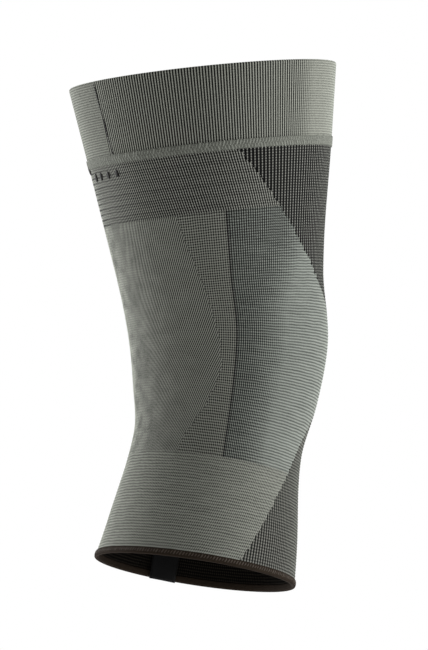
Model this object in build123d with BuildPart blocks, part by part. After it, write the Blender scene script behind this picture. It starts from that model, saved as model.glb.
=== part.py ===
"""Knitted knee sleeve: a shaped tube of knit zones, a sewn-on thigh band and a hem binding.

Millimetres. The lower end stands on Z = 0 with the shin axis along +Z, the kneecap
faces -Y and the hollow of the knee faces +Y. The thigh part leans back over the knee.
"""
import os
from bisect import bisect_right
from functools import cache
from math import cos, degrees, radians, sin

from build123d import *

os.makedirs("parts", exist_ok=True)

# ---------------------------------------------------------------- driving dimensions
knit_length = 240.8          # along the leg, from the hem's lower edge to the joining seam
band_height = 45.0           # sewn-on thigh band
knee_height = 135.0          # hem to the middle of the kneecap
bend_angle = 17.0            # how far the relaxed thigh part leans back
bend_below_knee = 69.0       # the bend is spread over this much of the tube below the kneecap
bend_above_knee = 61.0       # and over this much above it

knit_wall = 1.5              # plated knit
band_wall = 2.4              # band folded double
top_fold_radius = 0.8        # roundness of the band's folded upper edge

upper_mesh_height = 35.8     # from the joining seam down to the back panel
panel_bottom_height = 61.0   # hem to the back panel's lower edge
panel_half_angle = 63.5      # back panel, each side of the centre back, degrees
panel_edge_angle = 1.5       # dark edge line beside the panel, degrees round the leg
lens_half_top = 40.0         # fine mesh field inside the panel, half widths across the leg
lens_half_middle = 44.5
lens_half_bottom = 27.0

upper_wedge_back_reach = 21.7    # behind the leg's axis, at the joining seam
upper_wedge_drop = 79.0          # its tip, below the back end, down the front
upper_wedge_run = 108.0          # its length from back to front
lower_wedge_back_reach = 5.3     # behind the leg's axis, at the hem
lower_wedge_rise = 103.0         # its tip above the hem, up the front
lower_wedge_run = 54.8           # its length from back to front

binding_height = 4.2         # folded elastic binding at the hem
binding_proud = 0.5          # outside the knit
binding_inside = 0.5         # inside the knit
binding_round = 0.9

seam_height = 5.2            # flat cover seam that joins band and knit
seam_proud = 0.5
seam_inside = 0.35
closing_seam_angle = 5.0     # where the band's two ends meet, degrees from the centre back
closing_seam_width = 2.6
closing_seam_proud = 0.4
band_end_gap = 0.4

grip_dot_radius = 2.2        # silicone dots inside the band
grip_dot_height = 0.7
grip_dots_per_row = 36
grip_row_spacing = 11.0
grip_rows = 3

size_mark_width = 3.3        # knitted marks under the joining seam, near the centre back
size_mark_height = 3.8
size_mark_proud = 0.15
size_mark_pitch = 8.6
size_mark_count = 4
size_mark_drop = 8.0         # middle of the marks below the joining seam
size_mark_offset = -3.4      # middle of the row round from the centre back

label_width = 16.0           # care label, sewn along its upper edge and free below
label_height = 18.0
label_thickness = 0.5
label_angle = -101.0         # place round the leg, degrees from the centre back
label_floor_gap = 0.5
label_wall_gap = 2.8         # between the label and the binding
label_seam_height = 1.6
label_seam_gap = 0.3

body_gap = 0.3               # between knit zones that belong to different moving bodies
reach = 200.0                # larger than any cross-section, for cutting solids
loft_steps = 20              # the tube's surface passes through this many sections

# Outer sections of the relaxed sleeve: distance along the leg, half width, half depth and
# how far the section's middle stands behind (+) or before (-) the leg's axis.
seam_at = knit_length
top_at = knit_length + band_height
sections = [
    (0.0, 58.0, 57.0, -2.3),
    (22.0, 56.0, 54.0, -3.4),
    (knee_height - 61.0, 48.5, 48.3, -4.4),
    (knee_height - 30.0, 52.0, 53.5, -5.0),
    (knee_height, 55.8, 57.6, -5.0),
    (knee_height + 35.0, 58.5, 59.0, -1.4),
    (seam_at, 70.0, 69.8, -2.3),
    (top_at, 78.0, 76.6, -2.6),
]
panel_top_at = knit_length - upper_mesh_height
bend_start = knee_height - bend_below_knee
bend_end = knee_height + bend_above_knee


# ---------------------------------------------------------------- geometry of the leg
def lean(at):
    """Angle by which a cross-section leans back, in radians."""
    share = min(max((at - bend_start) / (bend_end - bend_start), 0.0), 1.0)
    return radians(bend_angle) * share * share * (3 - 2 * share)


def axis_point(at):
    """Point of the leg's axis at a distance along it, as (y, z)."""
    steps = 60
    step = at / steps
    y = sum(sin(lean((i + 0.5) * step)) for i in range(steps)) * step
    z = sum(cos(lean((i + 0.5) * step)) for i in range(steps)) * step
    return y, z


def section_size(at):
    """Half width, half depth and middle offset at a distance along the leg."""
    places = [row[0] for row in sections]
    low = min(max(bisect_right(places, at) - 1, 0), len(sections) - 2)
    span = places[low + 1] - places[low]
    t = (at - places[low]) / span
    sizes = []
    for column in (1, 2, 3):

        def slope(i):
            before = max(i - 1, 0)
            after = min(i + 1, len(sections) - 1)
            return (sections[after][column] - sections[before][column]) / (places[after] - places[before])

        start, end = sections[low][column], sections[low + 1][column]
        sizes.append(
            (2 * t**3 - 3 * t**2 + 1) * start
            + (t**3 - 2 * t**2 + t) * span * slope(low)
            + (3 * t**2 - 2 * t**3) * end
            + (t**3 - t**2) * span * slope(low + 1)
        )
    return sizes


def section_plane(at, shift=0.0):
    """Plane square to the leg. Its x is +X and its y points to the back of the leg."""
    y, z = axis_point(at)
    t = lean(at)
    return Plane((0, y + shift * cos(t), z - shift * sin(t)), x_dir=(1, 0, 0), z_dir=(0, sin(t), cos(t)))


def surface_plane(at, angle, grow):
    """Plane on the tube at an angle from the centre back, its z pointing outwards."""
    half_width, half_depth, offset = section_size(at)
    x = -(half_width + grow) * sin(radians(angle))
    y = (half_depth + grow) * cos(radians(angle))
    across = section_plane(at, offset)
    origin = across.from_local_coords(Vector(x, y, 0))
    outward = across.from_local_coords(Vector(-sin(radians(angle)), cos(radians(angle)), 0)) - across.origin
    return Plane(origin, x_dir=across.z_dir.cross(outward), z_dir=outward)


@cache
def filled_tube(grow):
    """The whole sleeve as a filled solid, with its surface moved out by grow."""
    with BuildPart() as tube:
        for i in range(loft_steps + 1):
            at = top_at * i / loft_steps
            half_width, half_depth, offset = section_size(at)
            with BuildSketch(section_plane(at, offset)):
                Ellipse(half_width + grow, half_depth + grow)
        loft()
    return tube.part


def shell(outside, inside, start, end):
    """A layer of the sleeve between two surface offsets and two distances along the leg."""
    with BuildPart() as layer:
        add(filled_tube(outside))
        add(filled_tube(inside), mode=Mode.SUBTRACT)
        if start > 0:
            split(bisect_by=section_plane(start), keep=Keep.TOP)
        if end < top_at:
            split(bisect_by=section_plane(end), keep=Keep.BOTTOM)
    return layer.part


def back_sector(first_angle, last_angle):
    """A prism along the leg that holds what lies between two angles from the centre back."""
    middle = (panel_bottom_height + panel_top_at) / 2
    swing = last_angle - first_angle
    corners = [first_angle + swing * i / 4 for i in range(5)]
    with BuildPart() as sector:
        with BuildSketch(section_plane(middle)):
            with BuildLine():
                Polyline(
                    (0, 0),
                    *[(-reach * sin(radians(a)), reach * cos(radians(a))) for a in corners],
                    close=True,
                )
            make_face()
        extrude(amount=top_at, both=True)
    return sector.part


def side_plane(y, z, run, rise, shift=0.0):
    """Plane across the leg through a point, seen from the side as a straight cut."""
    length = (run**2 + rise**2) ** 0.5
    normal = (0, -rise / length, run / length)
    return Plane((0, y + shift * normal[1], z + shift * normal[2]), x_dir=(1, 0, 0), z_dir=normal)


def upper_wedge_plane(shift=0.0):
    """Cut under the dark wedge: high at the back of the thigh, low at the front."""
    start = section_plane(seam_at, upper_wedge_back_reach).origin
    return side_plane(start.Y, start.Z, upper_wedge_run, upper_wedge_drop, shift)


def lower_wedge_plane(shift=0.0):
    """Cut over the lower wedge: at the hem beside the leg, at the front below the kneecap."""
    start = section_plane(0, lower_wedge_back_reach).origin
    return side_plane(start.Y, start.Z, -lower_wedge_run, lower_wedge_rise, shift)


# ---------------------------------------------------------------- knit zones
knit = shell(0, -knit_wall, binding_height, seam_at)

# Ribbed calf zone: fixed to the shin, between the binding and the back panel.
with BuildPart() as calf_knit:
    add(knit)
    split(bisect_by=section_plane(panel_bottom_height), keep=Keep.BOTTOM)
    split(bisect_by=lower_wedge_plane(), keep=Keep.BOTTOM)
calf_knit.part.label = "calf_knit"
export_step(calf_knit.part, "parts/calf_knit.step")

# Open-mesh wedge that rises from the hem up the front of the shin.
with BuildPart() as lower_front_wedge:
    add(knit)
    split(bisect_by=lower_wedge_plane(), keep=Keep.TOP)
lower_front_wedge.part.label = "lower_front_wedge"
export_step(lower_front_wedge.part, "parts/lower_front_wedge.step")

# Dark mesh wedge that comes down the front of the thigh from the joining seam.
with BuildPart() as upper_front_wedge:
    add(knit)
    split(bisect_by=upper_wedge_plane(body_gap / 2), keep=Keep.TOP)
upper_front_wedge.part.label = "upper_front_wedge"
export_step(upper_front_wedge.part, "parts/upper_front_wedge.step")

# Mesh zone at the back of the thigh, between the joining seam and the back panel.
with BuildPart() as thigh_mesh:
    add(knit)
    split(bisect_by=section_plane(panel_top_at + body_gap / 2), keep=Keep.TOP)
    split(bisect_by=upper_wedge_plane(body_gap / 2), keep=Keep.BOTTOM)
thigh_mesh.part.label = "thigh_mesh"
export_step(thigh_mesh.part, "parts/thigh_mesh.step")

# The stretch that bends with the knee, before it is divided into its zones.
with BuildPart() as knee_stretch:
    add(knit)
    split(bisect_by=section_plane(panel_bottom_height), keep=Keep.TOP)
    split(bisect_by=section_plane(panel_top_at - body_gap / 2), keep=Keep.BOTTOM)
    split(bisect_by=upper_wedge_plane(-body_gap / 2), keep=Keep.BOTTOM)
    split(bisect_by=lower_wedge_plane(), keep=Keep.BOTTOM)

# Outline of the fine mesh field, as a prism through the back of the knee.
lens_bottom_z = axis_point(panel_bottom_height)[1]
lens_top_z = axis_point(panel_top_at)[1]
with BuildPart() as lens_field:
    with BuildSketch(Plane.XZ):
        with BuildLine():
            low = lens_bottom_z
            high = lens_top_z + knit_wall
            middle = (low + high) / 2
            right = ThreePointArc((lens_half_bottom, low), (lens_half_middle, middle), (lens_half_top, high))
            left = ThreePointArc((-lens_half_top, high), (-lens_half_middle, middle), (-lens_half_bottom, low))
            Line(right @ 1, left @ 0)
            Line(left @ 1, right @ 0)
        make_face()
    extrude(amount=-reach)

# Fine diagonal mesh over the hollow of the knee.
with BuildPart() as hollow_mesh:
    add(knee_stretch.part)
    add(lens_field.part, mode=Mode.INTERSECT)
hollow_mesh.part.label = "hollow_mesh"
export_step(hollow_mesh.part, "parts/hollow_mesh.step")

# Square-grid mesh that frames it, out to the panel's edge lines.
panel_sector = back_sector(-panel_half_angle, panel_half_angle)
with BuildPart() as back_panel:
    add(knee_stretch.part)
    add(panel_sector, mode=Mode.INTERSECT)
    add(lens_field.part, mode=Mode.SUBTRACT)
back_panel.part.label = "back_panel"
export_step(back_panel.part, "parts/back_panel.step")

# Dark knitted edge lines, one down each side of the back panel.
edge_sectors = {
    "panel_edge_left": back_sector(panel_half_angle, panel_half_angle + panel_edge_angle),
    "panel_edge_right": back_sector(-panel_half_angle - panel_edge_angle, -panel_half_angle),
}
for name, edge_sector in edge_sectors.items():
    with BuildPart() as panel_edge:
        add(knee_stretch.part)
        add(edge_sector, mode=Mode.INTERSECT)
    panel_edge.part.label = name
    export_step(panel_edge.part, f"parts/{name}.step")

# Ribbed knit round the sides of the knee, with its bridge over the kneecap.
with BuildPart() as knee_knit:
    add(knee_stretch.part)
    add(panel_sector, mode=Mode.SUBTRACT)
    for edge_sector in edge_sectors.values():
        add(edge_sector, mode=Mode.SUBTRACT)
knee_knit.part.label = "knee_knit"
export_step(knee_knit.part, "parts/knee_knit.step")

# ---------------------------------------------------------------- hem
# Folded elastic binding that clasps the knit's raw lower edge.
with BuildPart() as hem_binding:
    add(shell(binding_proud, -knit_wall - binding_inside, 0, binding_height))
    fillet(hem_binding.edges().group_by(Axis.Z)[0], binding_round)
hem_binding.part.label = "hem_binding"
export_step(hem_binding.part, "parts/hem_binding.step")

# ---------------------------------------------------------------- thigh band
closing_plane = surface_plane(seam_at + band_height / 2, closing_seam_angle, 0)

# Wide ribbed band, folded double at its upper edge; its two ends butt at the back.
with BuildPart() as thigh_band:
    add(shell(0, -band_wall, seam_at, top_at))
    fillet(thigh_band.faces().sort_by(Axis.Z)[-1].edges(), top_fold_radius)
    with BuildSketch(closing_plane):
        Rectangle(band_end_gap, 2 * band_height)
    extrude(amount=2 * band_wall, both=True, mode=Mode.SUBTRACT)
thigh_band.part.label = "thigh_band"
export_step(thigh_band.part, "parts/thigh_band.step")

# Cover stitching over the butted ends, outside.
with BuildPart() as band_closing_seam:
    add(shell(closing_seam_proud, 0, seam_at + seam_height / 2, top_at))
    split(bisect_by=section_plane(top_at - top_fold_radius), keep=Keep.BOTTOM)
    with BuildSketch(closing_plane):
        Rectangle(closing_seam_width, 2 * band_height)
    extrude(amount=2 * band_wall, both=True, mode=Mode.INTERSECT)
band_closing_seam.part.label = "band_closing_seam"
export_step(band_closing_seam.part, "parts/band_closing_seam.step")

# Flat seam that joins band and knit: a cover of thread outside and another inside.
with BuildPart() as joining_seam:
    add(shell(seam_proud, 0, seam_at - seam_height / 2, seam_at + seam_height / 2))
joining_seam.part.label = "joining_seam"
export_step(joining_seam.part, "parts/joining_seam.step")

with BuildPart() as joining_seam_inside:
    add(shell(-knit_wall, -knit_wall - seam_inside, seam_at - seam_height / 2, seam_at))
joining_seam_inside.part.label = "joining_seam_inside"
export_step(joining_seam_inside.part, "parts/joining_seam_inside.step")

# Rods through the band, one for each silicone dot; every second row is half a step round.
with BuildPart() as dot_rods:
    for row in range(grip_rows):
        at = seam_at + band_height / 2 + (row - (grip_rows - 1) / 2) * grip_row_spacing
        for i in range(grip_dots_per_row):
            angle = 360 * (i + 0.5 * (row % 2)) / grip_dots_per_row
            with BuildSketch(surface_plane(at, angle, -band_wall)):
                Circle(grip_dot_radius)
    extrude(amount=band_wall, both=True)

# Silicone dots printed on the band's inner face, so that it doesn't slide down.
with BuildPart() as grip_dots:
    add(shell(-band_wall, -band_wall - grip_dot_height, seam_at, top_at))
    add(dot_rods.part, mode=Mode.INTERSECT)
grip_dots.part.label = "grip_dots"
export_step(grip_dots.part, "parts/grip_dots.step")

# ---------------------------------------------------------------- marks and label
# Dark marks knitted in below the joining seam.
with BuildPart() as mark_rods:
    for i in range(size_mark_count):
        round_the_leg = size_mark_offset + (i - (size_mark_count - 1) / 2) * size_mark_pitch
        at = seam_at - size_mark_drop
        angle = degrees(round_the_leg / section_size(at)[0])
        with BuildSketch(surface_plane(at, angle, 0)):
            Rectangle(size_mark_width, size_mark_height)
    extrude(amount=band_wall, both=True)

with BuildPart() as size_mark_set:
    add(shell(size_mark_proud, 0, panel_top_at, seam_at))
    add(mark_rods.part, mode=Mode.INTERSECT)
size_mark_set.part.label = "size_marks"
export_step(size_mark_set.part, "parts/size_marks.step")

# Care label: a woven tab inside the hem, sewn along its upper edge.
label_inset = -knit_wall - binding_inside - label_wall_gap
label_plane = surface_plane(0, label_angle, label_inset)
with BuildPart() as care_label:
    with BuildSketch(label_plane):
        with Locations((0, label_floor_gap + label_height / 2)):
            Rectangle(label_width, label_height)
    extrude(amount=-label_thickness)
care_label.part.label = "care_label"
export_step(care_label.part, "parts/care_label.step")

# Row of stitching that holds the label's upper edge to the knit.
label_seam_at = label_floor_gap + label_height + label_seam_gap
with BuildPart() as label_stitching:
    with BuildSketch(label_plane.offset(-label_thickness)):
        with Locations((0, label_seam_at + label_seam_height / 2)):
            Rectangle(label_width, label_seam_height)
    extrude(amount=label_thickness + label_wall_gap + binding_inside + knit_wall)
    add(filled_tube(-knit_wall), mode=Mode.INTERSECT)
label_stitching.part.label = "label_stitching"
export_step(label_stitching.part, "parts/label_stitching.step")
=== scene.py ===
# Knitted knee sleeve: the looks. A shaped tube of knit zones, bound at the hem, with a
# wide ribbed band sewn on at the thigh. Metres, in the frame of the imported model.
import bpy
import numpy as np
from math import cos, pi, radians, sin
from mathutils import Matrix, Vector


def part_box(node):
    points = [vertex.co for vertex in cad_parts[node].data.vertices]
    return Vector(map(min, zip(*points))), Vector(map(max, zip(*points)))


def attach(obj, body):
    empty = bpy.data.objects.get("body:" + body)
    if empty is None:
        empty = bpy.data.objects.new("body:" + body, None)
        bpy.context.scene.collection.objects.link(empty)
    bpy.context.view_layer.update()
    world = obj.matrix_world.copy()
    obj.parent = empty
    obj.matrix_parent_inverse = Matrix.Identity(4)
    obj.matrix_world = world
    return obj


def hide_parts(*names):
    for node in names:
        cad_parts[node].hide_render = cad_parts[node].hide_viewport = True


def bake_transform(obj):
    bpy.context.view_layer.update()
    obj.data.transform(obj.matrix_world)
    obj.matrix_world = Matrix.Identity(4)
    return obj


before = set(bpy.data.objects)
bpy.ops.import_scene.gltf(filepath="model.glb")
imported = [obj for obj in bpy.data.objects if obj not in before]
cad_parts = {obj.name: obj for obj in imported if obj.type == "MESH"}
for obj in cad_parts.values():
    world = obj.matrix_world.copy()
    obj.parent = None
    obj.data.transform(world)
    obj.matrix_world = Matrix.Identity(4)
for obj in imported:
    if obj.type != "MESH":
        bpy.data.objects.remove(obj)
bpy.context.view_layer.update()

# ---------------------------------------------------------------- studio
# A pale floor far below and a surround that is white behind the sleeve and dimmer on the
# near side, with a tall soft box at each side. The camera looks up from behind its right side.
floor_height = -0.62
floor_half = 12.0
surround_near = 0.42
camera_side = radians(-120.0)
camera_rise = radians(-10.2)
camera_roll = radians(8.85)
camera_distance = 2.8
lens_mm = 181.4
sensor_mm = 24.0
aim = Vector((0.0, 0.020, 0.150))
aim_right = 0.0071
aim_down = 0.0104

floor_mesh = bpy.data.meshes.new("floor")
corners = [(x * floor_half, y * floor_half, floor_height) for x, y in ((-1, -1), (1, -1), (1, 1), (-1, 1))]
floor_mesh.from_pydata(corners, [], [(0, 1, 2, 3)])
floor = bpy.data.objects.new("floor", floor_mesh)
bpy.context.collection.objects.link(floor)
pale = bpy.data.materials.new("pale_floor")
pale.use_nodes = True
pale.node_tree.nodes["Principled BSDF"].inputs["Base Color"].default_value = (0.95, 0.95, 0.95, 1)
pale.node_tree.nodes["Principled BSDF"].inputs["Roughness"].default_value = 0.9
floor_mesh.materials.append(pale)

world = bpy.data.worlds.new("surround")
world.use_nodes = True
bpy.context.scene.world = world
bpy.context.scene.view_settings.view_transform = "Standard"
ahead = Vector((sin(camera_side), -cos(camera_side), 0))
to_camera = ahead * cos(camera_rise) + Vector((0, 0, sin(camera_rise)))
direction = world.node_tree.nodes.new("ShaderNodeTexCoord")
facing = world.node_tree.nodes.new("ShaderNodeVectorMath")
facing.operation = "DOT_PRODUCT"
facing.inputs[1].default_value = to_camera
dimming = world.node_tree.nodes.new("ShaderNodeMapRange")
dimming.interpolation_type = "SMOOTHSTEP"
dimming.inputs["From Min"].default_value = 0.15
dimming.inputs["From Max"].default_value = 0.75
dimming.inputs["To Min"].default_value = 1.0
dimming.inputs["To Max"].default_value = surround_near
world.node_tree.links.new(direction.outputs["Generated"], facing.inputs[0])
world.node_tree.links.new(facing.outputs["Value"], dimming.inputs["Value"])
world.node_tree.nodes["Background"].inputs["Color"].default_value = (1, 1, 1, 1)
world.node_tree.links.new(dimming.outputs[0], world.node_tree.nodes["Background"].inputs["Strength"])

level = Vector((0, 0, 1)).cross(to_camera).normalized()
upward = to_camera.cross(level)
camera_x = level * cos(camera_roll) + upward * sin(camera_roll)
camera_y = upward * cos(camera_roll) - level * sin(camera_roll)
picture_middle = aim + camera_x * aim_right - camera_y * aim_down
camera_data = bpy.data.cameras.new("camera")
camera_data.sensor_fit = "VERTICAL"
camera_data.sensor_height = sensor_mm
camera_data.lens = lens_mm
camera = bpy.data.objects.new("camera", camera_data)
turn = Matrix((camera_x, camera_y, to_camera)).transposed().to_4x4()
camera.matrix_world = Matrix.Translation(picture_middle + to_camera * camera_distance) @ turn
bpy.context.collection.objects.link(camera)
bpy.context.scene.camera = camera


def soft_box(name, across, rise, towards, width, height, power):
    """A soft box placed across, above and towards the camera from the sleeve, facing it."""
    place = aim + camera_x * across + camera_y * rise + to_camera * towards
    light = bpy.data.lights.new(name, "AREA")
    light.shape = "RECTANGLE"
    light.size, light.size_y = width, height
    light.energy = power
    lamp = bpy.data.objects.new(name, light)
    back = (place - aim).normalized()
    side = camera_y.cross(back).normalized()
    facing_sleeve = Matrix((side, back.cross(side), back)).transposed().to_4x4()
    lamp.matrix_world = Matrix.Translation(place) @ facing_sleeve
    bpy.context.collection.objects.link(lamp)


soft_box("left_box", -1.4, 0.1, -0.80, 0.5, 1.6, 38)
soft_box("right_box", 1.5, 0.15, 0.10, 0.5, 1.6, 42)

# ---------------------------------------------------------------- the knit tube
# Compression knit, knitted in one as a shaped tube: grey yarn outside, black plated inside.
# Every zone uses the same stitches, so all of it is laid out on one grid of wales and courses.
mm = 0.001
knit_length = 240.8
band_height = 45.0
knee_height = 135.0
bend_angle = 17.0
bend_start = knee_height - 69.0
bend_end = knee_height + 61.0
knit_wall = 1.3
half_columns = 576        # two for each wale round the tube
course_low = 1.7          # height of a course at the calf and above the knee
course_high = 1.5
knit_from = 3.0
knit_to = 240.0
sections = np.array([
    (0.0, 58.0, 57.0, -2.3),
    (22.0, 56.0, 54.0, -3.4),
    (knee_height - 61.0, 48.5, 48.3, -4.4),
    (knee_height - 30.0, 52.0, 53.5, -5.0),
    (knee_height, 55.8, 57.6, -5.0),
    (knee_height + 35.0, 58.5, 59.0, -1.4),
    (knit_length, 70.0, 69.8, -2.3),
    (knit_length + band_height, 78.0, 76.6, -2.6),
])
panel_top = knit_length - 35.8
panel_bottom = 61.0


def lean(at):
    """Angle by which the tube leans back at a distance along the leg."""
    share = np.clip((np.asarray(at, float) - bend_start) / (bend_end - bend_start), 0, 1)
    return radians(bend_angle) * share * share * (3 - 2 * share)


axis_step = 0.25
axis_at = np.arange(0, 320, axis_step)
axis_y = np.concatenate([[0], np.cumsum(np.sin(lean(axis_at[:-1] + axis_step / 2)) * axis_step)])
axis_z = np.concatenate([[0], np.cumsum(np.cos(lean(axis_at[:-1] + axis_step / 2)) * axis_step)])


def section_size(at):
    """Half width, half depth and set-back of the tube's outside at distances along the leg."""
    at = np.asarray(at, float)
    places = sections[:, 0]
    low = np.clip(np.searchsorted(places, at, side="right") - 1, 0, len(places) - 2)
    span = places[low + 1] - places[low]
    t = (at - places[low]) / span
    before = np.maximum(np.arange(len(places)) - 1, 0)
    after = np.minimum(np.arange(len(places)) + 1, len(places) - 1)
    sizes = []
    for column in (1, 2, 3):
        value = sections[:, column]
        slope = (value[after] - value[before]) / (places[after] - places[before])
        sizes.append(
            (2 * t**3 - 3 * t**2 + 1) * value[low]
            + (t**3 - 2 * t**2 + t) * span * slope[low]
            + (3 * t**2 - 2 * t**3) * value[low + 1]
            + (t**3 - t**2) * span * slope[low + 1]
        )
    return sizes


def tube(angle, at, out=0.0):
    """Points on the tube, in metres: angle in degrees from the centre back towards -X, at mm along the
    leg, out mm beyond its surface."""
    half_width, half_depth, offset = section_size(at)
    turned = np.radians(angle)
    depth = offset + (half_depth + out) * np.cos(turned)
    tilt = lean(at)
    y0 = np.interp(at, axis_at, axis_y)
    z0 = np.interp(at, axis_at, axis_z)
    x = -(half_width + out) * np.sin(turned)
    return np.stack([x, y0 + depth * np.cos(tilt), z0 - depth * np.sin(tilt)], -1) * mm


fine_at = np.arange(knit_from, knit_to, 0.1)
calm = np.clip((fine_at - 55.0) / 60.0, 0, 1)
course_height = course_low + (course_high - course_low) * calm
course_count = np.concatenate([[0], np.cumsum(0.1 / course_height[:-1])])
half_rows = int(course_count[-1] * 2)
row_at = np.interp(np.arange(half_rows + 1) / 2, course_count, fine_at)
column_angle = np.arange(half_columns) * 360.0 / half_columns
cell_at = (row_at[:-1] + row_at[1:])[:, None] / 2 + np.zeros((1, half_columns))
cell_angle = (column_angle + 180.0 / half_columns)[None, :] + np.zeros((half_rows, 1))
signed_angle = (cell_angle + 180) % 360 - 180
# the zones change only between whole wales and courses, which gives their stepped edges
whole_at = np.repeat(cell_at[::2], 2, 0)[:half_rows]
whole_angle = np.repeat(cell_angle[:, ::2], 2, 1)
stitch = tube(whole_angle, whole_at) / mm


def beyond_side_line(run, rise, back_reach, at):
    """Cells on the upper or front side of a straight line drawn across the leg, seen from the side."""
    tilt = float(lean(at))
    y0 = float(np.interp(at, axis_at, axis_y)) + back_reach * cos(tilt)
    z0 = float(np.interp(at, axis_at, axis_z)) - back_reach * sin(tilt)
    return (stitch[..., 1] - y0) * -rise + (stitch[..., 2] - z0) * run > 0


upper_wedge_lowest = 100.0
lower_wedge_highest = 130.0
in_upper_wedge = beyond_side_line(108.0, 79.0, 21.7, knit_length) & (cell_at > upper_wedge_lowest)
in_lower_wedge = beyond_side_line(-54.8, 103.0, 5.3, 0.0) & (cell_at < lower_wedge_highest)
panel_half_angle = 64.0
edge_first = 2 * round(panel_half_angle / 360 * half_columns / 2)
edge_columns = 2          # one whole wale
column = np.arange(half_columns)
mirrored = np.minimum(column, half_columns - 1 - column)[None, :] + np.zeros((half_rows, 1), int)
in_knee = (cell_at > panel_bottom) & (cell_at < panel_top)
# half width of the fine field over the hollow of the knee, at distances along the leg
lens_outline = [(61, 27), (72, 28.6), (88, 36.4), (100, 41), (113, 43.9), (130, 44.7), (152, 43.7),
                (180, 41.5), (205, 39.2)]
lens_half = np.interp(whole_at, *zip(*lens_outline))
zone = np.full((half_rows, half_columns), "knee_knit", dtype="<U18")
zone[cell_at <= panel_bottom] = "calf_knit"
zone[cell_at >= panel_top] = "thigh_mesh"
zone[in_knee & (mirrored < edge_first)] = "back_panel"
zone[in_knee & (mirrored >= edge_first) & (mirrored < edge_first + edge_columns)] = "panel_edge"
zone[in_knee & (np.abs(stitch[..., 0]) < lens_half) & (mirrored < edge_first)] = "hollow_mesh"
zone[in_upper_wedge] = "upper_front_wedge"
zone[in_lower_wedge] = "lower_front_wedge"

# how far each crossing of wale and course lies below the ribs, by zone
rows, columns = np.meshgrid(np.arange(half_rows + 1), np.arange(half_columns), indexing="ij")
zone_at = zone[np.minimum(rows, half_rows - 1), columns]
between_courses = rows % 2
between_wales = columns % 2
rising = (1 - np.cos(pi * (columns - rows / 2))) / 2
falling = (1 - np.cos(pi * (columns + rows / 4))) / 2
sunk = np.where(zone_at == "knee_knit", 0.30 * between_courses + 0.06 * between_wales, 0.0)
sunk = np.where(zone_at == "calf_knit", 0.24 * between_courses + 0.12 * rising, sunk)
sunk = np.where(zone_at == "thigh_mesh", 0.14 * falling + 0.06 * between_courses, sunk)
sunk = np.where(zone_at == "back_panel", 0.20 * between_wales + 0.16 * between_courses, sunk)
sunk = np.where(zone_at == "hollow_mesh", 0.22 * rising + 0.05 * between_courses, sunk)
sunk = np.where(zone_at == "panel_edge", 0.45 * between_wales, sunk)
open_wale = (columns % 3 == 0) * 1.0
sunk = np.where(zone_at == "upper_front_wedge", 0.55 * open_wale + 0.12 * between_courses, sunk)
sunk = np.where(zone_at == "lower_front_wedge", 0.42 * open_wale + 0.20 * between_courses, sunk)
crossing_at, crossing_angle = np.meshgrid(row_at, column_angle, indexing="ij")
outer = tube(crossing_angle, crossing_at, -sunk)
inner = tube(crossing_angle, crossing_at, -knit_wall)


def add_piece(name, points, faces, uv, materials, face_material, flat_faces=None, full_turn=0):
    """Makes a mesh object from arrays; uv is given for each point, and u starts again after full_turn."""
    mesh = bpy.data.meshes.new(name)
    mesh.vertices.add(len(points))
    mesh.vertices.foreach_set("co", np.asarray(points, np.float32).ravel())
    mesh.loops.add(faces.size)
    mesh.loops.foreach_set("vertex_index", faces.ravel().astype(np.int32))
    mesh.polygons.add(len(faces))
    mesh.polygons.foreach_set("loop_start", np.arange(0, faces.size, 4, dtype=np.int32))
    mesh.update(calc_edges=True)
    corners = np.asarray(uv, np.float32)[faces]
    if full_turn:
        restarted = corners[..., 0] < corners[..., 0].max(axis=1, keepdims=True) - full_turn / 2
        corners[..., 0] += full_turn * restarted
    layer = mesh.uv_layers.new(name="stitches")
    layer.data.foreach_set("uv", corners.ravel())
    for material in materials:
        mesh.materials.append(material)
    mesh.polygons.foreach_set("material_index", np.asarray(face_material, np.int32))
    smooth = np.ones(len(faces), bool) if flat_faces is None else ~flat_faces
    mesh.polygons.foreach_set("use_smooth", smooth)
    mesh.validate()
    piece = bpy.data.objects.new(name, mesh)
    bpy.context.collection.objects.link(piece)
    return piece


def knit_piece(name, mask, outside, inside_material):
    """The cells of mask as a closed solid: outside, inside and the cut edges between."""
    grid = np.arange((half_rows + 1) * half_columns).reshape(half_rows + 1, half_columns)
    nxt = np.roll(grid, -1, axis=1)
    low_left, low_right, high_left, high_right = grid[:-1], nxt[:-1], grid[1:], nxt[1:]
    size = grid.size
    face = np.stack([low_left, low_right, high_right, high_left], -1)[mask]
    back = np.stack([low_left, high_left, high_right, low_right], -1)[mask] + size
    open_below = mask & ~np.vstack([np.zeros((1, half_columns), bool), mask[:-1]])
    open_above = mask & ~np.vstack([mask[1:], np.zeros((1, half_columns), bool)])
    open_left = mask & ~np.roll(mask, 1, axis=1)
    open_right = mask & ~np.roll(mask, -1, axis=1)

    def wall(cells, a, b):
        return np.stack([a[cells], a[cells] + size, b[cells] + size, b[cells]], -1)

    sides = np.concatenate([
        wall(open_below, low_left, low_right), wall(open_above, high_right, high_left),
        wall(open_left, high_left, low_left), wall(open_right, low_right, high_right),
    ])
    faces = np.concatenate([face, back, sides])
    wale = np.broadcast_to(columns / 2.0, grid.shape).ravel()
    course = (rows / 2.0).ravel()
    points = np.concatenate([outer.reshape(-1, 3), inner.reshape(-1, 3)])
    used, faces = np.unique(faces, return_inverse=True)
    faces = faces.reshape(-1, 4)
    uv = np.stack([np.concatenate([wale, wale]), np.concatenate([course, course])], -1)[used]
    kind = np.concatenate([np.zeros(len(face)), np.ones(len(back)), np.zeros(len(sides))])
    flat = np.concatenate([np.zeros(len(face) + len(back), bool), np.ones(len(sides), bool)])
    return add_piece(name, points[used], faces, uv, [outside, inside_material], kind, flat, half_columns / 2)


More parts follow.
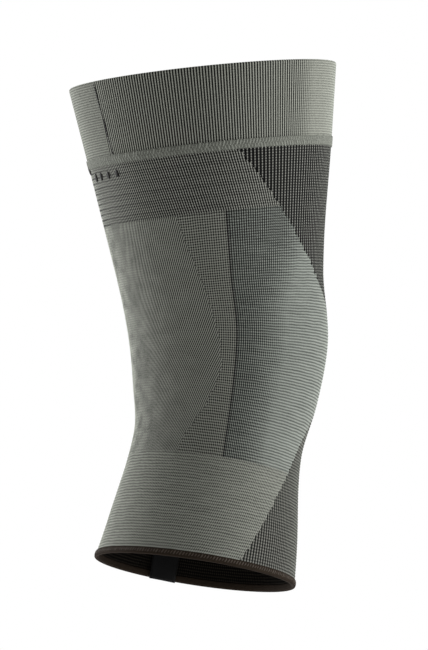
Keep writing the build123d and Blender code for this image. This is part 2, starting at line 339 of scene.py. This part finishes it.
class Nodes:
    """Short ways to add and join a material's nodes."""

    def __init__(self, name):
        self.material = bpy.data.materials.new(name)
        self.material.use_nodes = True
        self.tree = self.material.node_tree
        self.shader = self.tree.nodes["Principled BSDF"]

    def put(self, value, socket):
        if isinstance(value, bpy.types.NodeSocket):
            self.tree.links.new(value, socket)
        else:
            socket.default_value = value

    def math(self, operation, a, b=0.0, c=0.0, clamp=False):
        node = self.tree.nodes.new("ShaderNodeMath")
        node.operation = operation
        node.use_clamp = clamp
        for value, socket in zip((a, b, c), node.inputs):
            self.put(value, socket)
        return node.outputs[0]

    def uv(self):
        node = self.tree.nodes.new("ShaderNodeUVMap")
        node.uv_map = "stitches"
        split = self.tree.nodes.new("ShaderNodeSeparateXYZ")
        self.tree.links.new(node.outputs[0], split.inputs[0])
        return split.outputs[0], split.outputs[1]

    def wave(self, value, turns=1.0, shift=0.0):
        return self.math("COSINE", self.math("MULTIPLY_ADD", value, 2 * pi * turns, 2 * pi * shift))

    def noise(self, scale, stretch=(1.0, 1.0, 1.0), detail=2.0):
        """Even noise in object space; stretch draws it out along an axis."""
        place = self.tree.nodes.new("ShaderNodeTexCoord")
        mapping = self.tree.nodes.new("ShaderNodeMapping")
        mapping.inputs["Scale"].default_value = stretch
        node = self.tree.nodes.new("ShaderNodeTexNoise")
        node.inputs["Scale"].default_value = scale
        node.inputs["Detail"].default_value = detail
        self.tree.links.new(place.outputs["Object"], mapping.inputs["Vector"])
        self.tree.links.new(mapping.outputs[0], node.inputs["Vector"])
        return node.outputs[0]

    def mix(self, share, low, high):
        node = self.tree.nodes.new("ShaderNodeMix")
        node.data_type = "RGBA"
        self.put(share, node.inputs[0])
        self.put(low, node.inputs[6])
        self.put(high, node.inputs[7])
        return node.outputs[2]

    def bump(self, height, distance, strength=1.0):
        node = self.tree.nodes.new("ShaderNodeBump")
        node.inputs["Distance"].default_value = distance
        node.inputs["Strength"].default_value = strength
        self.tree.links.new(height, node.inputs["Height"])
        self.tree.links.new(node.outputs[0], self.shader.inputs["Normal"])

    def finish(self, rough, sheen=0.0, sheen_rough=0.4, gloss=0.15):
        self.shader.inputs["Roughness"].default_value = rough
        self.shader.inputs["Specular IOR Level"].default_value = gloss
        self.put(sheen, self.shader.inputs["Sheen Weight"])
        self.shader.inputs["Sheen Roughness"].default_value = sheen_rough
        self.shader.inputs["Sheen Tint"].default_value = (0.94, 1.0, 0.88, 1)
        return self.material


late_from_course = 90.0
late_wales = 0.65


def knit_material(name, yarn, ground_and_gap_shade, wales=0.0, courses=0.0, steep=0.0, shift=0.5, wale_turns=1.0,
                  cover=0.5, sheen=0.7, fleck=0.2, streak=0.1, wander=0.25, side=None):
    """Yarn over a darker ground: the black yarn beneath, painted darker still as shade between the stitches.
    Three waves say where the yarn lies on top: along wales, along courses, and along wales that shift from
    one course to the next. side=(first wale, wales, wale wave, cover) changes the mix on the way from the
    back to the front."""
    n = Nodes(name)
    u, v = n.uv()
    wale_amount, cover_amount = wales / 2, cover
    if side:
        first, run, far_wales, far_cover = side
        forward = n.math("MINIMUM", u, n.math("SUBTRACT", half_columns / 2, u))
        # the change comes later above the knee, by a part of a wale with each course
        courses_above = n.math("MAXIMUM", n.math("SUBTRACT", v, late_from_course), 0.0)
        lateness = n.math("MULTIPLY", courses_above, late_wales)
        changed = n.math("SUBTRACT", n.math("SUBTRACT", forward, first), lateness)
        share = n.math("DIVIDE", changed, run, clamp=True)
        wale_amount = n.math("MULTIPLY_ADD", share, (far_wales - wales) / 2, wales / 2)
        cover_amount = n.math("MULTIPLY_ADD", share, far_cover - cover, cover)
    v = n.math("ADD", v, n.math("MULTIPLY_ADD", n.noise(130.0), 2 * wander, -wander))
    up = n.math("MULTIPLY", n.wave(u, wale_turns), wale_amount)
    on_top = n.math("MULTIPLY_ADD", n.wave(v), courses / 2, up)
    if steep:
        on_top = n.math("MULTIPLY_ADD", n.wave(n.math("MULTIPLY_ADD", v, shift, u)), steep / 2, on_top)
    grain = n.math("MULTIPLY_ADD", n.noise(2200.0), 2 * fleck, -fleck)
    level = n.math("MULTIPLY_ADD", n.noise(60.0, (1, 1, 12)), 2 * streak, -streak)
    on_top = n.math("ADD", n.math("ADD", on_top, n.math("ADD", grain, level)), cover_amount, clamp=True)
    # Painted shade: the ground colour is the black yarn beneath, made darker still for the shade down
    # between the stitches.
    n.put(n.mix(on_top, (*ground_and_gap_shade, 1), (*yarn, 1)), n.shader.inputs["Base Color"])
    n.bump(grain, 0.0002, 0.5)
    return n.finish(0.85, n.math("MULTIPLY", on_top, sheen), 0.3, 0.10)


# Painted shade: the inside is black plated yarn, but its colour is made darker still for the shade inside
# the tube.
inside = knit_material("plated_inside_and_shade", (0.0125, 0.0108, 0.0088), (0.0004, 0.0004, 0.0003), 1.2, 1.2,
                       cover=0.2, sheen=0.0, fleck=0.1)
inside.node_tree.nodes["Principled BSDF"].inputs["Specular IOR Level"].default_value = 0.01


def finish_knit(piece, node):
    """Bakes the piece's placement into its mesh and hides the part that it stands for."""
    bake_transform(piece)
    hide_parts(node)


# ---------------------------------------------------------------- calf and knee ribs
# The tube's main fabric: level ribs of thick inlaid yarn, one to a course, round the calf
# and round the sides of the knee, with a bridge over the kneecap.
calf_rib = knit_material("calf_rib", (0.176, 0.182, 0.158), (0.010, 0.010, 0.009), 0.14, 0.56,
                         steep=0.66, shift=-0.5, cover=0.55, fleck=0.46, streak=0.18, wander=0.35)
# Towards the front of the knee the ribs' cover rises, so their colour grows lighter: partly the knit's own
# change, and partly painted light of the right soft box.
knee_rib = knit_material("knee_rib", (0.184, 0.198, 0.178), (0.004, 0.0045, 0.004), 1.0, 0.62,
                         cover=0.17, fleck=0.28, streak=0.16, side=(58.0, 18.0, 0.10, 0.53))
calf_knit = knit_piece("calf_knit_ribs", zone == "calf_knit", calf_rib, inside)
finish_knit(calf_knit, "calf_knit")
knee_knit = knit_piece("knee_knit_ribs", zone == "knee_knit", knee_rib, inside)
finish_knit(knee_knit, "knee_knit")

# ---------------------------------------------------------------- front wedges
# Airy wedges down the front of the thigh and up the shin, knitted in one with the ribs: a
# black ground between grey beaded wales, painted darker still as shade in the open gaps.
bead_turns = 2 / 3        # beaded wales are half as wide again as plain ones
thigh_wedge_knit = knit_material("thigh_wedge_knit", (0.172, 0.174, 0.156), (0.001, 0.001, 0.0009),
                                 -2.3, 0.7, wale_turns=bead_turns, cover=-0.50)
shin_wedge_knit = knit_material("shin_wedge_knit", (0.125, 0.127, 0.112), (0.003, 0.003, 0.0025),
                                -1.3, 0.6, wale_turns=bead_turns, cover=0.19, side=(70.0, 30.0, -0.45, 0.28))
upper_wedge = knit_piece("upper_front_wedge_mesh", zone == "upper_front_wedge", thigh_wedge_knit, inside)
finish_knit(upper_wedge, "upper_front_wedge")
lower_wedge = knit_piece("lower_front_wedge_mesh", zone == "lower_front_wedge", shin_wedge_knit, inside)
finish_knit(lower_wedge, "lower_front_wedge")

# ---------------------------------------------------------------- thigh mesh and back panel
# Square mesh below the band, and down both sides of the fine field over the hollow of the
# knee. All three are the tube's own grey yarn in thinner stitches.
thigh_mesh_knit = knit_material("thigh_mesh_knit", (0.180, 0.183, 0.162), (0.001, 0.001, 0.0009),
                                0.2, 0.6, steep=1.5, shift=0.25, cover=0.17)
panel_knit = knit_material("panel_knit", (0.175, 0.180, 0.157), (0.004, 0.004, 0.0035),
                           0.9, 0.8, cover=0.44)
hollow_knit = knit_material("hollow_knit", (0.178, 0.183, 0.160), (0.005, 0.005, 0.0045),
                            0.0, 0.25, steep=1.6, shift=-0.5, cover=0.42, fleck=0.18, wander=0.6)
thigh_mesh = knit_piece("thigh_mesh_grid", zone == "thigh_mesh", thigh_mesh_knit, inside)
finish_knit(thigh_mesh, "thigh_mesh")
back_panel = knit_piece("back_panel_grid", zone == "back_panel", panel_knit, inside)
finish_knit(back_panel, "back_panel")
hollow_mesh = knit_piece("hollow_mesh_twill", zone == "hollow_mesh", hollow_knit, inside)
finish_knit(hollow_mesh, "hollow_mesh")

# ---------------------------------------------------------------- panel edge lines
# One wale of black yarn down each side of the back panel, knitted in where the ribs and the
# square mesh meet.
edge_knit = knit_material("edge_knit", (0.12, 0.122, 0.112), (0.0008, 0.0008, 0.0008), 1.0, 0.9,
                          cover=0.08)
left_cells = (zone == "panel_edge") & (column[None, :] < half_columns / 2)
right_cells = (zone == "panel_edge") & (column[None, :] >= half_columns / 2)
for side, cells in (("left", left_cells), ("right", right_cells)):
    edge_line = knit_piece(f"panel_edge_{side}_wale", cells, edge_knit, inside)
    finish_knit(edge_line, f"panel_edge_{side}")

# ---------------------------------------------------------------- hem binding
# Dark brown elastic tape folded round the raw lower edge and sewn on, so that it stands a
# little proud of the knit.
binding_foot = 0.05
binding_height = 4.2
binding_out = 0.5
binding_in = 2.0
binding_round = 1.0
binding_corners = 276


def ring(name, profile, count, materials, wave=None, closed=True):
    """Sweeps a closed profile of (out, at) points, in mm, round the tube as a solid ring."""
    angles = np.arange(count) * 360.0 / count
    out = np.array([p[0] for p in profile])[:, None] + np.zeros((1, count))
    at = np.array([p[1] for p in profile])[:, None] + np.zeros((1, count))
    if wave is not None:
        out = out + wave(angles[None, :], out, at)
    points = tube(angles[None, :] + 0 * out, at, out)
    grid = np.arange(len(profile) * count).reshape(len(profile), count)
    above = np.roll(grid, -1, axis=0)
    beside, both = np.roll(grid, -1, axis=1), np.roll(above, -1, axis=1)
    faces = np.stack([grid, beside, both, above], -1).reshape(-1, 4)
    uv = np.stack([angles[None, :] / 360 * count + 0 * out, at], -1).reshape(-1, 2)
    return add_piece(name, points.reshape(-1, 3), faces, uv, materials, np.zeros(len(faces)), None, count)


def rounded(out_low, out_high, low, high, radius, steps=5):
    """Profile of a rounded bar between two offsets and two heights, anticlockwise from its outer foot."""
    corners = [(out_high - radius, low + radius, -90), (out_high - radius, high - radius, 0),
               (out_low + radius, high - radius, 90), (out_low + radius, low + radius, 180)]
    points = []
    for out, at, first in corners:
        for i in range(steps + 1):
            turned = radians(first + 90 * i / steps)
            points.append((out + radius * cos(turned), at + radius * sin(turned)))
    return points


n = Nodes("binding_tape")
u, v = n.uv()
tape_rib = n.math("MULTIPLY_ADD", n.wave(v, 1 / 0.7), 0.22, 0.5)
tape = n.math("MULTIPLY_ADD", n.noise(1500.0), 0.8, n.math("ADD", tape_rib, -0.4), clamp=True)
n.put(n.mix(tape, (0.003, 0.0022, 0.0016, 1), (0.022, 0.0155, 0.0105, 1)), n.shader.inputs["Base Color"])
n.bump(tape, 0.0002, 0.6)
binding_tape = n.finish(0.85, 0.0, gloss=0.03)
binding_profile = rounded(-binding_in, binding_out, binding_foot, binding_height, binding_round)
hem_binding = ring("hem_binding_tape", binding_profile, binding_corners, [binding_tape])
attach(hem_binding, "calf")
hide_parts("hem_binding")


def thread_material(name, thread, shade):
    """Spun thread: fine mottling over a matt colour."""
    n = Nodes(name)
    mottle = n.noise(1800.0, detail=3.0)
    n.put(n.mix(mottle, (*shade, 1), (*thread, 1)), n.shader.inputs["Base Color"])
    n.bump(mottle, 0.0001, 0.5)
    return n.finish(0.7, 0.0, gloss=0.2)


def sewn(name, spots, outward, along, length, width, height, spread, material):
    """One rounded stitch at every spot, lying along one direction and standing up along another."""
    guide = bpy.data.meshes.new(name)
    guide.from_pydata([tuple(p) for p in spots], [], [])
    for label, vectors in (("outward", outward), ("along", along)):
        layer = guide.attributes.new(label, "FLOAT_VECTOR", "POINT")
        layer.data.foreach_set("vector", np.asarray(vectors, np.float32).ravel())
    piece = bpy.data.objects.new(name, guide)
    bpy.context.collection.objects.link(piece)
    tree = bpy.data.node_groups.new(name + "_nodes", "GeometryNodeTree")
    interface = tree.interface
    interface.new_socket("Geometry", in_out="OUTPUT", socket_type="NodeSocketGeometry")
    interface.new_socket("Geometry", in_out="INPUT", socket_type="NodeSocketGeometry")
    size_socket = interface.new_socket("Stitch size", in_out="INPUT", socket_type="NodeSocketVector")
    spread_socket = interface.new_socket("Size spread", in_out="INPUT", socket_type="NodeSocketFloat")
    seed_socket = interface.new_socket("Seed", in_out="INPUT", socket_type="NodeSocketInt")
    material_socket = interface.new_socket("Thread", in_out="INPUT", socket_type="NodeSocketMaterial")
    new, link = tree.nodes.new, tree.links.new
    given, result = new("NodeGroupInput"), new("NodeGroupOutput")
    ball = new("GeometryNodeMeshUVSphere")
    ball.inputs["Segments"].default_value = 8
    ball.inputs["Rings"].default_value = 6
    ball.inputs["Radius"].default_value = 0.5
    shaped = new("GeometryNodeTransform")
    turned = new("FunctionNodeAxesToRotation")
    turned.primary_axis, turned.secondary_axis = "Z", "X"
    for label, socket in (("outward", "Primary Axis"), ("along", "Secondary Axis")):
        named = new("GeometryNodeInputNamedAttribute")
        named.data_type = "FLOAT_VECTOR"
        named.inputs["Name"].default_value = label
        link(named.outputs["Attribute"], turned.inputs[socket])
    smallest, largest = new("ShaderNodeMath"), new("ShaderNodeMath")
    smallest.operation, largest.operation = "SUBTRACT", "ADD"
    smallest.inputs[0].default_value = largest.inputs[0].default_value = 1.0
    link(given.outputs["Size spread"], smallest.inputs[1])
    link(given.outputs["Size spread"], largest.inputs[1])
    uneven = new("FunctionNodeRandomValue")
    link(smallest.outputs[0], uneven.inputs[2])
    link(largest.outputs[0], uneven.inputs[3])
    link(given.outputs["Seed"], uneven.inputs["Seed"])
    placed, real = new("GeometryNodeInstanceOnPoints"), new("GeometryNodeRealizeInstances")
    painted = new("GeometryNodeSetMaterial")
    link(ball.outputs["Mesh"], shaped.inputs["Geometry"])
    link(given.outputs["Stitch size"], shaped.inputs["Scale"])
    link(given.outputs["Geometry"], placed.inputs["Points"])
    link(shaped.outputs["Geometry"], placed.inputs["Instance"])
    link(turned.outputs["Rotation"], placed.inputs["Rotation"])
    link(uneven.outputs[1], placed.inputs["Scale"])
    link(placed.outputs["Instances"], real.inputs["Geometry"])
    link(real.outputs["Geometry"], painted.inputs["Geometry"])
    link(given.outputs["Thread"], painted.inputs["Material"])
    link(painted.outputs["Geometry"], result.inputs["Geometry"])
    modifier = piece.modifiers.new("stitches", "NODES")
    modifier.node_group = tree
    modifier[size_socket.identifier] = (length, width, height)
    modifier[spread_socket.identifier] = spread
    modifier[seed_socket.identifier] = 7
    modifier[material_socket.identifier] = material
    shown = piece.evaluated_get(bpy.context.evaluated_depsgraph_get())
    mesh = bpy.data.meshes.new_from_object(shown)
    piece.modifiers.clear()
    piece.data = mesh
    mesh.polygons.foreach_set("use_smooth", np.ones(len(mesh.polygons), bool))
    return piece


def on_tube(angles, at, out):
    """Points on the tube with the directions outwards, round and up there."""
    angles, at = np.broadcast_arrays(np.asarray(angles, float), np.asarray(at, float))
    points = tube(angles, at, out)
    around = tube(angles + 0.2, at, out) - tube(angles - 0.2, at, out)
    upward = tube(angles, at + 0.2, out) - tube(angles, at - 0.2, out)
    around /= np.linalg.norm(around, axis=-1, keepdims=True)
    upward /= np.linalg.norm(upward, axis=-1, keepdims=True)
    return points, np.cross(upward, around), around, upward


# Its sewing: one row of short slanting stitches in brown thread round the outside.
brown_thread = thread_material("brown_thread", (0.050, 0.036, 0.025), (0.008, 0.006, 0.004))
hem_stitch_count = 210
hem_stitch_at = 2.4
hem_angles = np.arange(hem_stitch_count) * 360.0 / hem_stitch_count
spots, outward, around, upward = on_tube(hem_angles, hem_stitch_at, binding_out)
hem_stitches = sewn("hem_binding_stitches", spots, outward, upward + 0.5 * around,
                    0.0024, 0.0007, 0.0004, 0.25, brown_thread)
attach(hem_stitches, "calf")

# ---------------------------------------------------------------- care label
# Black woven tab inside the hem, sewn along its upper edge by one row of stitches and free
# below, where it curls a little.
label_angle = -101.0
label_low, label_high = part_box("care_label")
label_hang = 0.0014        # the free end hangs a little below the hem
label_rows, label_columns = 12, 10
label_curl = 0.0009
label_half_width = 0.0079
label_half = 0.00022       # half its thickness
facing_out = Vector((-sin(radians(label_angle)), cos(radians(label_angle)), 0))
label_across = Vector((0, 0, 1)).cross(facing_out)
label_middle = (Vector(label_low) + Vector(label_high)) / 2
label_points, label_uv = [], []
for face in (1, -1):
    for i in range(label_rows + 1):
        for j in range(label_columns + 1):
            up, across = i / label_rows, j / label_columns * 2 - 1
            height = -label_hang + label_low[2] + (label_high[2] + label_hang - label_low[2]) * up
            bow = label_curl * (1 - up) ** 2 * (0.4 + 0.6 * across**2) + face * label_half
            spot = label_middle + label_across * (across * label_half_width) + facing_out * bow
            label_points.append((spot.x, spot.y, height))
            label_uv.append((across * label_half_width / mm, up * 18))
layer_size = (label_rows + 1) * (label_columns + 1)
label_faces = []
for i in range(label_rows):
    for j in range(label_columns):
        a = i * (label_columns + 1) + j
        b, c, d = a + 1, a + label_columns + 2, a + label_columns + 1
        label_faces.append((a, b, c, d))
        label_faces.append((a + layer_size, d + layer_size, c + layer_size, b + layer_size))
edge = list(range(label_columns + 1))
edge += [i * (label_columns + 1) + label_columns for i in range(1, label_rows + 1)]
edge += [label_rows * (label_columns + 1) + j for j in range(label_columns - 1, -1, -1)]
edge += [i * (label_columns + 1) for i in range(label_rows - 1, 0, -1)]
for a, b in zip(edge, edge[1:] + edge[:1]):
    label_faces.append((b, a, a + layer_size, b + layer_size))
n = Nodes("woven_label")
u, v = n.uv()
weave = n.math("MULTIPLY_ADD", n.math("MULTIPLY", n.wave(u, 2.0), n.wave(v, 2.0)), 0.5, 0.5)
n.put(n.mix(weave, (0.0008, 0.0008, 0.0008, 1), (0.004, 0.004, 0.004, 1)), n.shader.inputs["Base Color"])
n.bump(weave, 0.00004, 0.5)
woven_label = n.finish(0.6, 0.0, gloss=0.08)
label_faces = np.array(label_faces)
care_label = add_piece("care_label_tab", label_points, label_faces, label_uv, [woven_label],
                       np.zeros(len(label_faces)))
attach(care_label, "label")
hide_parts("care_label")

# Its row of stitching, through the knit above the label's edge.
black_thread = thread_material("black_thread", (0.004, 0.0035, 0.003), (0.001, 0.001, 0.001))
seam_low, seam_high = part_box("label_stitching")
seam_middle = (Vector(seam_low) + Vector(seam_high)) / 2
label_stitches = 10
label_row_half = 0.0072
row_places = [label_row_half * (i / ((label_stitches - 1) / 2) - 1) for i in range(label_stitches)]
spots = [seam_middle + label_across * place for place in row_places]
label_stitching = sewn("label_stitching_row", spots, [facing_out] * label_stitches,
                       [label_across] * label_stitches, 0.0017, 0.0008, 0.0046, 0.05, black_thread)
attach(label_stitching, "calf")
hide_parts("label_stitching")

# ---------------------------------------------------------------- thigh band
# Broad elastic band, knitted with upright ribs on its outer face and folded double at its upper edge. It is
# plain beside its closing seam and across the front, where its colour is also painted lighter as highlight
# of the side lights.
band_wall = 2.4
band_ribs = 288
rib_depth = 0.30
seam_angle = 5.0
band_low = knit_length - 0.8
band_top = knit_length + band_height
fold_round = 1.2
fold_drop = 1.4
plain_from = -34.0         # the ribs give way to plain knit beside the closing seam
plain_front = 114.0        # and across the front, where they fade over plain_run degrees
plain_run = 15.0


def band_wave(angles, out, at):
    """Ribs on the outer face only; they fade away where the band is plain."""
    turned = (angles + 180) % 360 - 180
    ribs = (np.cos(np.radians(angles * band_ribs)) - 1) / 2 * rib_depth
    ribbed = np.clip((plain_front - np.abs(turned)) / plain_run, 0.1, 1)
    ribbed = np.where((turned > plain_from) & (turned < seam_angle), 0.1, ribbed)
    return ribs * np.clip(1 + out / 0.6, 0, 1) * ribbed


straight = band_top - fold_drop - band_low
band_profile = [(0.0, band_low + straight * i / 12) for i in range(13)]
for turned in range(15, 181, 15):
    over, up = cos(radians(turned)), sin(radians(turned))
    band_profile.append((fold_round * (over - 1), band_top + fold_round * (up - 1)))
band_profile += [(-band_wall, band_low + straight * (1 - i / 8)) for i in range(9)]
band_count = band_ribs * 4
n = Nodes("band_knit")
u, v = n.uv()
sideways = n.math("MINIMUM", u, n.math("SUBTRACT", band_count, u))
degree = band_count / 360
before_front = n.math("SUBTRACT", plain_front * degree, sideways)
ribbed = n.math("DIVIDE", before_front, plain_run * degree, clamp=True)
strip = n.math("MAXIMUM", n.math("GREATER_THAN", u, (360 + plain_from) * degree),
               n.math("LESS_THAN", u, seam_angle * degree))
ribbed = n.math("MULTIPLY", ribbed, n.math("SUBTRACT", 1.0, strip))
rib = n.math("MULTIPLY", n.wave(u, 0.25), n.math("MULTIPLY_ADD", ribbed, 0.62, 0.03))
# Painted highlight: where the band is plain it shows no dark grooves, and its level is also raised so that
# its colour is lighter, standing in for the light of the side boxes.
level = n.math("MULTIPLY_ADD", strip, -0.13, n.math("MULTIPLY_ADD", ribbed, -0.26, 0.50))
fleck = n.math("MULTIPLY_ADD", ribbed, -0.75, 0.95)
grain = n.math("MULTIPLY", n.math("SUBTRACT", n.noise(2400.0), 0.5), fleck)
cross = n.math("MULTIPLY_ADD", n.wave(v, 1 / 1.4), n.math("MULTIPLY_ADD", ribbed, -0.10, 0.16), grain)
on_top = n.math("ADD", n.math("ADD", rib, level), cross, clamp=True)
# Painted shade: the colour between the ribs is darker than the yarn alone, for the shade down in the
# grooves.
n.put(n.mix(on_top, (0.001, 0.001, 0.0009, 1), (0.235, 0.243, 0.210, 1)), n.shader.inputs["Base Color"])
n.bump(grain, 0.0002, 0.5)
band_knit = n.finish(0.85, n.math("MULTIPLY", on_top, 0.9), 0.3, 0.10)
thigh_band = ring("thigh_band_ribs", band_profile, band_count, [band_knit], band_wave)
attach(thigh_band, "thigh")
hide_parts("thigh_band")

# ---------------------------------------------------------------- closing seam of the band
# The band is closed to a loop by one upright row of stitches in black thread, a little off
# straight.
seam_lean = 3.0
closing_pitch = 1.55
closing_at = np.arange(knit_length + 4.0, band_top - 1.5, closing_pitch)
closing_angle = seam_angle + 1.0 - seam_lean * ((closing_at - knit_length) / band_height - 0.5)
spots, outward, around, upward = on_tube(closing_angle, closing_at, -0.05)
slant = upward + 0.35 * around * np.where(np.arange(len(closing_at)) % 2, 1, -1)[:, None]
closing_seam = sewn("band_closing_stitches", spots, outward, slant, 0.0017, 0.0012, 0.0006, 0.12,
                    black_thread)
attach(closing_seam, "thigh")
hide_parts("band_closing_seam")

# ---------------------------------------------------------------- joining seam
# Flat cover seam between tube and band: the two edges butt, and a dense web of grey thread
# lies over them on both faces.
seam_height = 5.2
seam_out = 0.42
seam_under = 0.3
cover_count = 552
back_count = 276
web_count = 460
web_reach = 1.15
seam_material = knit_material("seam_threads", (0.150, 0.156, 0.134), (0.020, 0.021, 0.018), 0.3, 0.2,
                              cover=0.42, fleck=0.5)
seam_thread = thread_material("grey_thread", (0.20, 0.21, 0.18), (0.05, 0.052, 0.045))
seam_bottom, seam_top = knit_length - seam_height / 2, knit_length + seam_height / 2
cover_profile = rounded(-seam_under, seam_out, seam_bottom, seam_top, 0.35)
joining_seam = ring("joining_seam_cover", cover_profile, cover_count, [seam_material])
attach(joining_seam, "thigh")
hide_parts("joining_seam")
web_angle = np.arange(web_count) * 360.0 / web_count
to_and_fro = np.where(np.arange(web_count) % 2, 1, -1)
spots, outward, around, upward = on_tube(web_angle, knit_length + web_reach * to_and_fro, 0.38)
slant = upward + 0.30 * around * to_and_fro[:, None]
seam_web = sewn("joining_seam_web", spots, outward, slant, 0.0031, 0.0009, 0.00045, 0.35, seam_thread)
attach(seam_web, "thigh")
back_profile = rounded(-band_wall - 0.1, -1.1, seam_bottom, seam_top, 0.3)
seam_inside = ring("joining_seam_back", back_profile, back_count, [seam_material])
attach(seam_inside, "thigh")
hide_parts("joining_seam_inside")

# ---------------------------------------------------------------- size marks
# Four short bars of black yarn knitted in under the seam at the back, and one more set
# apart and higher.
mark_at = knit_length - 8.0
raised = 5.2
mark_angle = np.array([-14.0, -7.2, 0.4, 7.6, -25.0])
mark_place = mark_at + np.array([0.0, 0.0, 0.0, 0.0, raised])
spots, outward, around, upward = on_tube(mark_angle, mark_place, 0.05)
size_marks = sewn("size_marks_set", spots, outward, upward, 0.0050, 0.0034, 0.0014, 0.12,
                  black_thread)
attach(size_marks, "thigh")
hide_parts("size_marks")

# ---------------------------------------------------------------- grip dots
# Three rows of silicone beads, printed on the inside of the band, that keep it from
# slipping down the thigh.
dots_per_row = 36
row_spacing = 11.0
dot_rows = 3
n = Nodes("silicone")
cloud = n.noise(900.0)
n.put(n.mix(cloud, (0.30, 0.31, 0.30, 1), (0.42, 0.43, 0.41, 1)), n.shader.inputs["Base Color"])
silicone = n.finish(0.35, 0.0, gloss=0.5)
dot_step = 360.0 / dots_per_row
dot_angles = np.concatenate([(np.arange(dots_per_row) + row / 2) * dot_step for row in range(dot_rows)])
row_places = knit_length + band_height / 2 + (np.arange(dot_rows) - (dot_rows - 1) / 2) * row_spacing
dot_at = np.repeat(row_places, dots_per_row)
spots, outward, around, upward = on_tube(dot_angles, dot_at, -band_wall)
grip_dots = sewn("grip_dots_beads", spots, -outward, around, 0.0044, 0.0044, 0.0014, 0.03, silicone)
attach(grip_dots, "thigh")
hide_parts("grip_dots")
